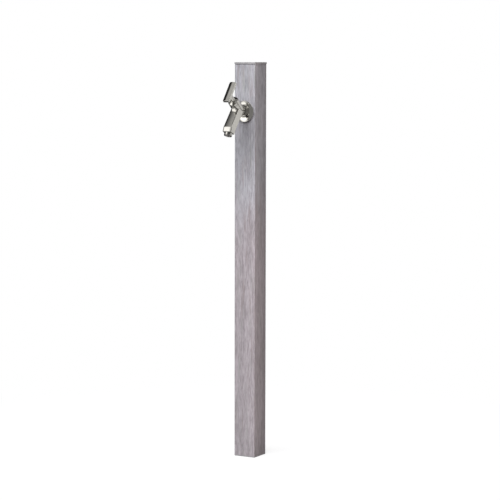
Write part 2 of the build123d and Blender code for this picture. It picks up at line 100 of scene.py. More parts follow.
class Term:
    """A shader socket that takes part in arithmetic; each operator adds one Math node."""

    def __init__(self, shader: "Shader", socket: Socket) -> None:
        """Wraps an output socket of a node tree."""
        self.shader = shader
        self.socket = socket

    def _maths(self, operation: str, first: "Term | float", second: "Term | float") -> "Term":
        """Adds a Math node that joins two values and returns its result."""
        node = self.shader.node("ShaderNodeMath", {"operation": operation}, {0: first, 1: second})
        return Term(self.shader, node.outputs[0])

    def __add__(self, other: "Term | float") -> "Term":
        """Sum of the two values."""
        return self._maths("ADD", self, other)

    __radd__ = __add__

    def __sub__(self, other: "Term | float") -> "Term":
        """This value less the other."""
        return self._maths("SUBTRACT", self, other)

    def __rsub__(self, other: float) -> "Term":
        """The other value less this one."""
        return self._maths("SUBTRACT", other, self)

    def __mul__(self, other: "Term | float") -> "Term":
        """Product of the two values."""
        return self._maths("MULTIPLY", self, other)

    __rmul__ = __mul__

    def at_least(self, other: "Term | float") -> "Term":
        """The larger of the two values."""
        return self._maths("MAXIMUM", self, other)


Input = Term | float | tuple | Socket


@dataclass(frozen=True)
class Fade:
    """A smooth change from start to end while the value that drives it goes from low to high."""

    low: float
    high: float
    start: float = 0.0
    end: float = 1.0

    def about(self, middle: float, spread: float) -> "Fade":
        """The same change, from as far below a middle value to as far above it."""
        return replace(self, start=middle - spread, end=middle + spread)


class Shader:
    """A node tree of a material or a world, with one method that makes any node."""

    def __init__(self, tree: bpy.types.NodeTree) -> None:
        """Takes a node tree to fill, and empties it."""
        self.tree = tree
        self.tree.nodes.clear()

    def node(self, kind: str, settings: dict | None = None, inputs: dict | None = None) -> Node:
        """Adds a node, sets it up and feeds its sockets.

        Args:
            kind: the node's type, such as ShaderNodeMath.
            settings: the node's own properties.
            inputs: values, terms or sockets by the socket's name or number.

        Returns:
            The new node.
        """
        made = self.tree.nodes.new(kind)
        for name, value in (settings or {}).items():
            setattr(made, name, value)
        for name, value in (inputs or {}).items():
            self.feed(made.inputs[name], value)
        return made

    def feed(self, socket: Socket, value: Input) -> None:
        """Links a term or a socket to an input, or sets the input's own value.

        Args:
            socket: the input to feed.
            value: what it takes.
        """
        if isinstance(value, Term):
            self.tree.links.new(value.socket, socket)
        elif isinstance(value, Socket):
            self.tree.links.new(value, socket)
        elif isinstance(value, tuple) and socket.type == "RGBA":
            socket.default_value = (*value, 1.0)
        else:
            socket.default_value = value

    def noise(
        self, vector: Socket, scale: float, detail: float = 2.0, rough: float = 0.5, waver: float = 0.0
    ) -> Term:
        """Smooth noise between 0 and 1.

        Args:
            vector: where to read it.
            scale: repeats per unit of the vector.
            detail: how many finer layers it has.
            rough: how strong those layers are.
            waver: how far its lines wander.

        Returns:
            The noise's value.
        """
        inputs = {"Vector": vector, "Scale": scale, "Detail": detail, "Roughness": rough, "Distortion": waver}
        return Term(self, self.node("ShaderNodeTexNoise", None, inputs).outputs["Fac"])

    def ramp(self, value: Term, fade: Fade) -> Term:
        """A value that follows another through a fade.

        Args:
            value: the value that drives it.
            fade: where the change begins and ends, and from what to what it goes.

        Returns:
            The eased value.
        """
        limits = {"From Min": fade.low, "From Max": fade.high, "To Min": fade.start, "To Max": fade.end}
        smooth = {"interpolation_type": "SMOOTHSTEP"}
        made = self.node("ShaderNodeMapRange", smooth, {"Value": value, **limits})
        return Term(self, made.outputs["Result"])

    def mix(self, factor: Term | float, first: Input, second: Input) -> Socket:
        """A colour between two: the first where the factor is 0, the second where it is 1."""
        # Inputs 6 and 7 and output 2 are the node's colour sockets.
        made = self.node("ShaderNodeMix", {"data_type": "RGBA"}, {0: factor, 6: first, 7: second})
        return made.outputs[2]

    def place(self, scale: Triple = (1.0, 1.0, 1.0)) -> Socket:
        """Object coordinates, each axis scaled by its own factor."""
        plain = self.node("ShaderNodeTexCoord").outputs["Object"]
        return self.node("ShaderNodeMapping", None, {"Vector": plain, "Scale": scale}).outputs["Vector"]

    def bump(self, height: Term, strength: float, depth: float) -> Socket:
        """The normal of a surface that is roughened by a height, of which 1 stands for the depth."""
        inputs = {"Strength": strength, "Distance": depth, "Height": height}
        return self.node("ShaderNodeBump", None, inputs).outputs["Normal"]

    def blend(self, share: Input, first: Node, second: Node) -> Node:
        """A mix of two shaders: the first where the share is 0, the second where it is 1."""
        return self.node("ShaderNodeMixShader", None, {0: share, 1: first.outputs[0], 2: second.outputs[0]})

    def show(self, kind: str, made: Node) -> None:
        """Joins a shader to an output node of the given type."""
        self.node(kind, None, {"Surface": made.outputs[0]})


def surface(name: str, settings: dict, build: Callable[[Shader], dict]) -> bpy.types.Material:
    """Makes a material with one Principled surface.

    Args:
        name: the material's name.
        settings: fixed values of the surface's sockets.
        build: adds the nodes that vary over the surface and returns what feeds which socket.

    Returns:
        The material.
    """
    material = bpy.data.materials.new(name)
    material.use_nodes = True
    shader = Shader(material.node_tree)
    principled = shader.node("ShaderNodeBsdfPrincipled", None, {**settings, **build(shader)})
    shader.show("ShaderNodeOutputMaterial", principled)
    return material


@dataclass(frozen=True)
class Streaks:
    """One layer of the printed grain: noise drawn out along the post.

    Args:
        width: how wide a streak is, in metres.
        stretch: how many times longer than wide it is.
        detail: how many finer layers it has.
        rough: how strong those layers are.
        waver: how far its lines wander.
        rate: how many streaks there are to a width.
        weight: how much it adds to the grain's tone.
    """

    width: float
    stretch: float
    detail: float = 2.0
    rough: float = 0.5
    waver: float = 0.0
    rate: float = 1.0
    weight: float = 0.0

    def noise(self, shader: Shader) -> Term:
        """Adds the layer's nodes and returns its value, between 0 and 1."""
        across = 1.0 / self.width
        place = shader.place((across, across, across / self.stretch))
        return shader.noise(place, self.rate, self.detail, self.rough, self.waver)


@dataclass(frozen=True)
class WoodGrainFilm:
    """Matt grey film with a printed wood grain: upright streaks, fine dark lines and short pores; its tint drifts
    with height, partly as painted light.
    """

    # Upper and lower colours: the film turns cooler towards the top and warmer towards the foot. This change is
    # partly the film's own tint and partly painted light, standing in for cool light from above and warm light
    # lower down.
    upper_pale: Colour = (0.432, 0.428, 0.462)
    upper_deep: Colour = (0.218, 0.214, 0.232)
    lower_pale: Colour = (0.445, 0.402, 0.428)
    lower_deep: Colour = (0.226, 0.202, 0.212)
    green_grey: Colour = (0.270, 0.278, 0.262)
    brown_grey: Colour = (0.268, 0.226, 0.226)
    pore_colour: Colour = (0.135, 0.125, 0.125)
    broad: Streaks = Streaks(16 * MM, 12.0, waver=0.4, weight=0.5)
    streak: Streaks = Streaks(4.4 * MM, 8.0, 3.0, 0.6, 0.5, weight=1.0)
    line: Streaks = Streaks(1.7 * MM, 9.0, 3.0, 0.6, 0.6, weight=0.8)
    pore: Streaks = Streaks(0.8 * MM, 7.0)
    green: Streaks = Streaks(7 * MM, 20.0, rate=1.17)
    brown: Streaks = Streaks(7 * MM, 16.0, rate=0.83)
    height_waver: float = 0.3
    tint_and_light_fade: Fade = Fade(0.62, 0.92)
    tone_fade: Fade = Fade(-0.36, 0.36)
    cast_fade: Fade = Fade(0.54, 0.72, 0.0, 0.5)
    line_in_pores: float = 0.3
    pore_fade: Fade = Fade(0.80, 0.95, 0.0, 0.6)
    gloss_fade: Fade = Fade(0.3, 0.8, 0.47, 0.60)
    bump_strength: float = 0.25
    bump_depth: float = 0.05 * MM
    specular: float = 0.4

    def build(self, shader: Shader) -> dict:
        """Adds the grain's nodes.

        Args:
            shader: the material's nodes.

        Returns:
            What feeds the surface, by socket.
        """
        layers = (self.broad, self.streak, self.line, self.pore, self.green, self.brown)
        broad, streak, line, pore, green, brown = (layer.noise(shader) for layer in layers)
        axes = shader.node("ShaderNodeSeparateXYZ", None, {0: shader.place()})
        height = Term(shader, axes.outputs["Z"]) + self.height_waver * (broad - MIDDLE)
        tone = self.broad.weight * (broad - MIDDLE) + self.streak.weight * (streak - MIDDLE)
        tone = tone + self.line.weight * (line - MIDDLE)
        # Partly painted light: the tint drifts with height, as the colour of the light on the post does.
        rise = shader.ramp(height, self.tint_and_light_fade)
        pale = shader.mix(rise, self.lower_pale, self.upper_pale)
        deep = shader.mix(rise, self.lower_deep, self.upper_deep)
        colour = shader.mix(shader.ramp(tone, self.tone_fade), deep, pale)
        colour = shader.mix(shader.ramp(green, self.cast_fade), colour, self.green_grey)
        colour = shader.mix(shader.ramp(brown, self.cast_fade), colour, self.brown_grey)
        pores = shader.ramp(pore + self.line_in_pores * line, self.pore_fade)
        return {
            "Base Color": shader.mix(pores, colour, self.pore_colour),
            "Roughness": shader.ramp(line, self.gloss_fade),
            "Normal": shader.bump(line + pore, self.bump_strength, self.bump_depth),
        }

    def material(self) -> bpy.types.Material:
        """The film as a material."""
        return surface("wood_grain_film", {"Specular IOR Level": self.specular}, self.build)


@dataclass(frozen=True)
class MouldedResin:
    """Moulded plastic, rubber or ceramic: an even colour, slightly mottled, with a fine pebbled skin."""

    name: str
    colour: Colour
    roughness: float = 0.45
    pebble: float = 0.35 * MM
    depth: float = 0.02 * MM
    mottle_share: float = 0.12
    mottle_rate: float = 45.0
    mottle_fade: Fade = Fade(0.35, 0.65)
    detail: float = 3.0
    skin_rough: float = 0.6
    gloss_spread: float = 0.06
    gloss_fade: Fade = Fade(0.3, 0.7)
    bump_strength: float = 0.5
    specular: float = 0.5

    def build(self, shader: Shader) -> dict:
        """Adds the mottling and the pebbled skin.

        Args:
            shader: the material's nodes.

        Returns:
            What feeds the surface, by socket.
        """
        place = shader.place()
        mottle = shader.noise(place, self.mottle_rate, self.detail)
        skin = shader.noise(place, 1.0 / self.pebble, self.detail, self.skin_rough)
        dark = tuple(channel * (1.0 - self.mottle_share) for channel in self.colour)
        light = tuple(channel * (1.0 + self.mottle_share) for channel in self.colour)
        return {
            "Base Color": shader.mix(shader.ramp(mottle, self.mottle_fade), dark, light),
            "Roughness": shader.ramp(skin, self.gloss_fade.about(self.roughness, self.gloss_spread)),
            "Normal": shader.bump(skin, self.bump_strength, self.depth),
        }

    def material(self) -> bpy.types.Material:
        """The resin as a material."""
        return surface(self.name, {"Specular IOR Level": self.specular}, self.build)


@dataclass(frozen=True)
class Metal:
    """Plated, cast or turned metal: a faint cloudy gloss and fine marks."""

    name: str
    colour: Colour
    roughness: float = 0.16
    cloud: float = 9 * MM
    cloud_detail: float = 3.0
    mark: float = 0.25 * MM
    mark_detail: float = 4.0
    mark_rough: float = 0.6
    marks_in_gloss: float = 0.3
    gloss_spread: float = 0.05
    gloss_fade: Fade = Fade(0.4, 0.9)
    dulling: float = 0.92
    dull_fade: Fade = Fade(0.35, 0.7)
    bump_strength: float = 0.4
    depth: float = 0.003 * MM

    def build(self, shader: Shader) -> dict:
        """Adds the clouding and the fine marks.

        Args:
            shader: the material's nodes.

        Returns:
            What feeds the surface, by socket.
        """
        place = shader.place()
        cloud = shader.noise(place, 1.0 / self.cloud, self.cloud_detail)
        marks = shader.noise(place, 1.0 / self.mark, self.mark_detail, self.mark_rough)
        gloss = self.gloss_fade.about(self.roughness, self.gloss_spread)
        dull = tuple(channel * self.dulling for channel in self.colour)
        return {
            "Base Color": shader.mix(shader.ramp(cloud, self.dull_fade), self.colour, dull),
            "Roughness": shader.ramp(cloud + self.marks_in_gloss * marks, gloss),
            "Normal": shader.bump(marks, self.bump_strength, self.depth),
        }

    def material(self) -> bpy.types.Material:
        """The metal as a material."""
        return surface(self.name, {"Metallic": 1.0}, self.build)


class Finishes:
    """Every finish of the standpipe, made once and shared by the pieces that have it."""

    def __init__(self) -> None:
        """Makes the materials."""
        made = {
            Slot.WOOD_GRAIN: WoodGrainFilm(),
            Slot.GREY_CAP: MouldedResin("grey_cap_resin", (0.30, 0.295, 0.30), roughness=0.5),
            Slot.PIPE_RESIN: MouldedResin("pipe_resin", (0.06, 0.08, 0.14), roughness=0.35),
            Slot.SPACER_RESIN: MouldedResin("spacer_resin", (0.66, 0.66, 0.64), roughness=0.5),
            Slot.RAW_BRASS: Metal("raw_brass", (0.68, 0.50, 0.26), roughness=0.28),
            Slot.BLACK_RUBBER: MouldedResin("black_rubber", (0.02, 0.02, 0.02), roughness=0.7),
            Slot.SATIN_METAL: Metal("satin_plate", (0.64, 0.63, 0.60), roughness=0.09, gloss_spread=0.02),
            Slot.CERAMIC: MouldedResin(
                "ground_ceramic", (0.80, 0.79, 0.75), roughness=0.25,
                pebble=0.2 * MM, depth=0.005 * MM, mottle_share=0.04,
            ),
            Slot.WHITE_RESIN: MouldedResin("white_resin", (0.74, 0.74, 0.72), roughness=0.3),
            Slot.STEEL: Metal("stainless_steel", (0.55, 0.55, 0.54), roughness=0.3),
        }
        self.materials = {slot: finish.material() for slot, finish in made.items()}

    def dress_cad(self) -> None:
        """Gives every CAD node the finish that the record names for it."""
        for subpart in frame["record"]["subparts"]:
            node = frame["nodes"][subpart["node"]]
            self.dress(node, Slot(subpart["material_slot"]))

    def dress(self, piece: bpy.types.Object, slot: Slot) -> None:
        """Gives a piece the finish of a slot."""
        piece.data.materials.clear()
        piece.data.materials.append(self.materials[slot])


def placement(origin: Vector, along: Vector) -> Matrix:
    """A frame with its x axis along world X and its z axis along a given direction.

    Args:
        origin: the frame's origin.
        along: the direction of its z axis, square to world X.

    Returns:
        The frame's matrix.
    """
    across = Vector((1, 0, 0))
    turn = Matrix((across, along.cross(across), along)).transposed()
    return Matrix.Translation(origin) @ turn.to_4x4()


class Piece:
    """One mesh under work, shaped with Blender's own operators."""

    def __init__(self, name: str, kind: str, **settings: float | tuple | str) -> None:
        """Adds a primitive and gives it the piece's name.

        Args:
            name: the piece's name.
            kind: the primitive, such as cube or circle.
            settings: what the primitive's operator takes.
        """
        bpy.ops.object.select_all(action="DESELECT")
        getattr(bpy.ops.mesh, f"primitive_{kind}_add")(**settings)
        self.object = bpy.context.object
        self.object.name = name
        self.object.data.name = name
        bpy.ops.object.transform_apply(location=True, rotation=True, scale=True)

    def wake(self) -> None:
        """Makes this the only selected object, in object mode."""
        if bpy.context.mode != "OBJECT":
            self.leave()
        bpy.ops.object.select_all(action="DESELECT")
        self.object.select_set(True)
        bpy.context.view_layer.objects.active = self.object

    def shape(self, mode: str = "EDGE") -> None:
        """Goes to edit mode with all of the mesh selected.

        Args:
            mode: what is selected, FACE, EDGE or VERT.
        """
        self.wake()
        bpy.ops.object.mode_set(mode="EDIT")
        bpy.ops.mesh.select_mode(type=mode)
        bpy.ops.mesh.select_all(action="SELECT")

    def _pick(self, mode: str, items: str, test: Callable) -> None:
        """Goes to edit mode with some items of the mesh selected.

        Args:
            mode: what is selected, FACE, EDGE or VERT.
            items: the mesh's own name for them.
            test: says of an item whether it is taken.
        """
        self.shape(mode)
        bpy.ops.mesh.select_all(action="DESELECT")
        self.leave()
        for item in getattr(self.object.data, items):
            item.select = test(item)
        bpy.ops.object.mode_set(mode="EDIT")

    def pick_faces(self, test: Callable[[Vector], bool]) -> None:
        """Selects the faces whose middle passes a test."""
        self._pick("FACE", "polygons", lambda face: test(face.center))

    def pick_edges(self, test: Callable[[Vector, Vector], bool]) -> None:
        """Selects the edges whose two ends pass a test."""
        mesh = self.object.data
        self._pick("EDGE", "edges", lambda edge: test(*(mesh.vertices[end].co for end in edge.vertices)))

    def pick_points(self, test: Callable[[Vector], bool]) -> None:
        """Selects the vertices whose place passes a test."""
        self._pick("VERT", "vertices", lambda point: test(point.co))

    @staticmethod
    def split(strips: tuple[float, ...]) -> None:
        """Cuts the mesh in edit mode lengthwise, at some distances to both sides of its middle plane.

        Args:
            strips: the distances.
        """
        for strip in strips:
            for side in (-strip, strip) if strip else (0.0,):
                bpy.ops.mesh.select_all(action="SELECT")
                bpy.ops.mesh.bisect(plane_co=(side, 0, 0), plane_no=(1, 0, 0))

    @staticmethod
    def leave() -> None:
        """Goes back to object mode."""
        bpy.ops.object.mode_set(mode="OBJECT")

    def tidy(self) -> None:
        """Merges doubled points and turns the faces outwards."""
        self.shape("VERT")
        bpy.ops.mesh.remove_doubles(threshold=MERGE)
        bpy.ops.mesh.normals_make_consistent(inside=False)
        self.leave()

    def modify(self, kind: str, **settings: float | str | bool | bpy.types.Object) -> None:
        """Adds a modifier, sets it up and applies it.

        Args:
            kind: the modifier's type, such as BEVEL.
            settings: its properties by name.
        """
        self.wake()
        modifier = self.object.modifiers.new(kind.lower(), kind)
        for name, value in settings.items():
            setattr(modifier, name, value)
        bpy.ops.object.modifier_apply(modifier=modifier.name)

    def round_edges(self, width: float, steps: int, angle: float = 35.0) -> None:
        """Rounds the edges at which two faces turn by more than an angle, in degrees."""
        limit = math.radians(angle)
        self.modify("BEVEL", width=width, segments=steps, limit_method="ANGLE", angle_limit=limit)

    def combine(self, other: "Piece", operation: str = "UNION") -> None:
        """Joins this piece with another, or cuts the other out of it; the other is used up."""
        self.modify("BOOLEAN", operation=operation, solver="EXACT", object=other.object)
        bpy.data.objects.remove(other.object)

    def shade(self, angle: float) -> None:
        """Shades the piece smooth wherever its faces meet at less than an angle, in degrees."""
        self.wake()
        bpy.ops.object.shade_smooth_by_angle(angle=math.radians(angle))

    def place(self, where: Matrix) -> None:
        """Moves the mesh into a frame; the object itself stays at the origin.

        Args:
            where: the frame.
        """
        self.wake()
        self.object.matrix_world = where
        bpy.ops.object.transform_apply(location=True, rotation=True, scale=True)


def turned(name: str, profile: list[Ring], tube: bool = False, steps: int = RING_STEPS) -> Piece:
    """Turns an outline about the z axis, one ring after another.

    Args:
        name: the piece's name.
        profile: the rings as (radius, height).
        tube: True where the last ring meets the first round a wall; else both ends are filled.
        steps: how many sides a ring has.

    Returns:
        The turned piece.
    """
    radius, height = profile[0]
    fill = "NOTHING" if tube else "NGON"
    foot = (0, 0, height)
    piece = Piece(name, "circle", vertices=steps, radius=radius, fill_type=fill, location=foot)
    piece.shape()
    for next_radius, next_height in profile[1:]:
        bpy.ops.mesh.extrude_region_move(TRANSFORM_OT_translate={"value": (0, 0, next_height - height)})
        ratio = next_radius / radius
        bpy.ops.transform.resize(value=(ratio, ratio, 1), center_override=(0, 0, next_height))
        radius, height = next_radius, next_height
    if tube:
        bpy.ops.mesh.select_all(action="DESELECT")
        bpy.ops.mesh.select_non_manifold()
        bpy.ops.mesh.bridge_edge_loops()
    piece.leave()
    piece.tidy()
    return piece


def arc(middle: Ring, radius: float, start: float, end: float, steps: int = EDGE_STEPS) -> list[Ring]:
    """Points of an arc in a turned outline.

    Args:
        middle: the arc's middle as (radius, height).
        radius: the arc's own radius.
        start: the angle of its first point in degrees, 0 outwards and 90 upwards.
        end: the angle of its last point in degrees.
        steps: how many stretches it is divided into.

    Returns:
        The points as (radius, height).
    """
    angles = [math.radians(start + (end - start) * step / steps) for step in range(steps + 1)]
    out, up = middle
    return [(out + radius * math.cos(angle), up + radius * math.sin(angle)) for angle in angles]


@dataclass
class TapLines:
    """The directions and middles that the tap's pieces share, read from the frame where it gives them."""

    tap_height: float = 1053.5 * MM
    spout_angle: float = math.radians(41)
    tip_angle: float = math.radians(24)
    spout_length: float = 78.5 * MM
    tip_length: float = 13 * MM

    def __post_init__(self) -> None:
        """Reads the lever's joint and the post's front and works out the rest."""
        joint = frame["joints"][0]
        self.valve = Vector(joint["pos_m"])
        self.head = Vector(joint["axis"]).normalized()
        post_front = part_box("post_sleeve")[0][1]
        self.inlet = Vector((0, post_front, self.tap_height))
        self.spout = Vector((0, -math.sin(self.spout_angle), -math.cos(self.spout_angle)))
        self.tip = Vector((0, -math.sin(self.tip_angle), -math.cos(self.tip_angle)))
        self.outlet = self.valve + self.spout * self.spout_length + self.tip * self.tip_length

    def at_head(self) -> Matrix:
        """The frame of the valve and the lever, z outwards along the spindle."""
        return placement(self.valve, self.head)

    def at_inlet(self) -> Matrix:
        """The frame of the inlet, z away from the post."""
        return placement(self.inlet, Vector((0, -1, 0)))

    def at_spout(self) -> Matrix:
        """The frame of the spout, z down along it and y to its front."""
        return placement(self.valve, self.spout)

    def at_outlet(self) -> Matrix:
        """The frame of the outlet, z down along the tip."""
        return placement(self.outlet, self.tip)


@dataclass
class TapPiece:
    """A piece of the tap that shows, drawn along the lines that they all share."""

    lines: TapLines


@dataclass
class TapBody(TapPiece):
    """The casting: inlet neck, valve chamber and flat-sided spout with a bent tip."""

    width: float = 29 * MM
    depth: float = 24.4 * MM
    long_edge: float = 1.6 * MM
    crown: float = 1.0 * MM
    strips: tuple[float, ...] = (0, 3 * MM, 6 * MM, 9 * MM, 12 * MM)
    shoulder_foot: tuple[float, float] = (16 * MM, 21.5 * MM)
    shoulder_top: tuple[float, float] = (7 * MM, 8.5 * MM)
    shoulder_rise: float = 16.3 * MM
    chamber_radius: float = 16.5 * MM
    chamber_top: float = 29.5 * MM
    chamber_edge: float = 0.8 * MM
    bowl_start: float = -89.5
    neck_radius: float = 14.5 * MM
    neck_start: float = 10.5 * MM
    neck_end: float = 50 * MM
    shank_radius: float = 10.4 * MM
    shank_grip: float = 14 * MM
    inlet_bore: float = 6.5 * MM
    inlet_end: float = 42 * MM
    hollow_bore: float = 9.5 * MM
    hollow_rings: tuple[float, ...] = (12 * MM, 13 * MM, 31 * MM, 34 * MM)
    valve_bore: float = 10.5 * MM
    seat_height: float = 5 * MM
    seat_bore: float = 6 * MM
    seat_depth: float = 12 * MM
    throat_bore: float = 5.5 * MM
    throat_rings: tuple[float, ...] = (8 * MM, 24 * MM, 26 * MM)
    spout_bore: float = 8 * MM
    outlet_bore: float = 9.5 * MM
    outlet_depth: float = 9.5 * MM
    grain: float = 0.5 * MM
    softness: float = 0.5
    softening: int = 8

    def spout(self) -> Piece:
        """Draws the spout out of a block, bent at the tip, with narrow rounded long edges.

        Returns:
            The solid spout.
        """
        length = self.lines.spout_length
        bend = self.lines.spout_angle - self.lines.tip_angle
        front = self.depth / 2
        side = self.width / 2
        middle, size = (0, 0, length / 2), (self.width, self.depth, length)
        piece = Piece("tap_body", "cube", size=1, location=middle, scale=size)
        end = Vector((0, 0, length))
        piece.pick_faces(lambda point: point.z > length - NEAR)
        bpy.ops.transform.resize(value=(1, 1 / math.cos(bend / 2), 1), center_override=end)
        bpy.ops.transform.rotate(value=-bend / 2, orient_axis="X", center_override=end)
        tip = Vector((0, -math.sin(bend), math.cos(bend))) * self.lines.tip_length
        bpy.ops.mesh.extrude_region_move(TRANSFORM_OT_translate={"value": tip})
        bpy.ops.transform.rotate(value=-bend / 2, orient_axis="X", center_override=end + tip)
        square = math.cos(bend / 2)
        bpy.ops.transform.resize(value=(1, square, square), center_override=end + tip)
        tip_end = (end + tip).z - front * math.sin(bend) - NEAR

        def is_long(first: Vector, second: Vector) -> bool:
            """Tells the lengthwise edges of the two sides from the rest.

            Args:
                first: one end of an edge.
                second: its other end.

            Returns:
                True for a lengthwise edge.
            """
            on_side = abs(first.x) > side - NEAR and abs(first.x - second.x) < NEAR
            apart = (first - second).length > NEAR
            across = abs(first.z - second.z) < NEAR
            at_end = min(first.z, second.z) > tip_end and min(first.z, second.z) > length
            return on_side and apart and not across and not at_end

        piece.pick_edges(is_long)
        bpy.ops.mesh.bevel(offset=self.long_edge, segments=EDGE_STEPS, affect="EDGES")
        piece.leave()
        self.crown_front(piece)
        piece.tidy()
        return piece

    def crown_front(self, piece: Piece) -> None:
        """Raises the middle of the spout's front a little, so that it is gently rounded across.

        Args:
            piece: the spout, with its long edges rounded.
        """
        piece.shape()
        piece.split(self.strips)
        piece.leave()
        for strip in self.strips:
            rise = self.crown * (1 - (2 * strip / self.width) ** 2)
            piece.pick_points(lambda point, at=strip: point.y > 0 and abs(abs(point.x) - at) < NEAR)
            bpy.ops.transform.translate(value=(0, rise, 0))
            piece.leave()

    def shoulder(self) -> Piece:
        """Makes the tapered lug that fills the corner between the spout's front and the chamber.

        Returns:
            The lug, in the spout's frame.
        """
        width, length = self.shoulder_foot
        base, top = self.depth / 2 - OVERLAP, self.depth / 2 + self.shoulder_rise
        middle = (0, (base + top) / 2, length / 2)
        lug = Piece("shoulder", "cube", size=1, location=middle, scale=(width, top - base, length))
        lug.pick_faces(lambda point: point.y > top - NEAR)
        narrow = (self.shoulder_top[0] / width, 1, self.shoulder_top[1] / length)
        bpy.ops.transform.resize(value=narrow, center_override=(0, top, length / 2))
        lug.leave()
        return lug

    def bores(self) -> list[Piece]:
        """Makes the tools that bore the casting: inlet, valve seat and housing, spout and outlet.

        Returns:
            The tools, each in its place.
        """
        widen, wide, narrow, slim = self.hollow_rings
        inlet = turned("inlet_bore", [
            (self.inlet_bore, -self.shank_grip - OVERLAP), (self.inlet_bore, widen), (self.hollow_bore, wide),
            (self.hollow_bore, narrow), (self.inlet_bore, slim), (self.inlet_bore, self.inlet_end),
        ])
        inlet.place(self.lines.at_inlet())
        valve = turned("valve_bore", [
            (self.seat_bore, -self.seat_depth), (self.seat_bore, self.seat_height),
            (self.valve_bore, self.seat_height), (self.valve_bore, self.chamber_top + OVERLAP),
        ])
        valve.place(self.lines.at_head())
        start, flare, full = self.throat_rings
        spout = turned("spout_bore", [
            (self.throat_bore, start), (self.throat_bore, flare),
            (self.spout_bore, full), (self.spout_bore, self.lines.spout_length),
        ])
        spout.place(self.lines.at_spout())
        outlet = turned("outlet_bore", [
            (self.spout_bore, -self.lines.tip_length), (self.spout_bore, -self.outlet_depth),
            (self.outlet_bore, -self.outlet_depth), (self.outlet_bore, OVERLAP),
        ])
        outlet.place(self.lines.at_outlet())
        return [inlet, valve, spout, outlet]

    def build(self) -> Piece:
        """Joins spout, chamber and neck, bores them and blends the joins as a casting has them.

        Returns:
            The casting.
        """
        body = self.spout()
        body.combine(self.shoulder())
        body.place(self.lines.at_spout())
        radius = self.chamber_radius
        edge = self.chamber_edge
        chamber = turned("chamber", [
            *arc((0, 0), radius, self.bowl_start, 0, BOWL_STEPS),
            (radius, self.chamber_top - edge), (radius - edge, self.chamber_top),
        ])
        chamber.place(self.lines.at_head())
        body.combine(chamber)
        neck = turned("neck", [
            (self.shank_radius, -self.shank_grip), (self.shank_radius, self.neck_start),
            (self.neck_radius, self.neck_start), (self.neck_radius, self.neck_end),
        ])
        neck.place(self.lines.at_inlet())
        body.combine(neck)
        for bore in self.bores():
            body.combine(bore, "DIFFERENCE")
        body.tidy()
        body.modify("REMESH", mode="VOXEL", voxel_size=self.grain, use_smooth_shade=True)
        body.modify("SMOOTH", factor=self.softness, iterations=self.softening)
        return body


@dataclass
class BonnetCover(TapPiece):
    """Round collar on the valve chamber, with a low cone that rises to the lever's neck."""

    radius: float = 16 * MM
    base: float = 29.5 * MM
    height: float = 9.9 * MM
    edge: float = 1.2 * MM
    hole: float = 8.3 * MM
    rise: float = 1.9 * MM
    roof: float = 1.5 * MM
    inner: float = 13.6 * MM
    crease: float = 40.0

    def build(self) -> Piece:
        """Turns the collar with its low cone.

        Returns:
            The collar.
        """
        top = self.base + self.height
        shoulder = top - self.rise
        rim = self.radius - self.edge
        slope = math.degrees(math.atan2(self.rise, rim - self.hole))
        under = shoulder - self.roof
        collar = turned("bonnet_cover", [
            (self.radius, self.base), (self.radius, shoulder - self.edge),
            *arc((rim, shoulder - self.edge), self.edge, 0, 90 - slope)[1:],
            (self.hole, top), (self.hole, under), (self.inner, under), (self.inner, self.base),
        ], tube=True)
        collar.place(self.lines.at_head())
        collar.shade(self.crease)
        return collar


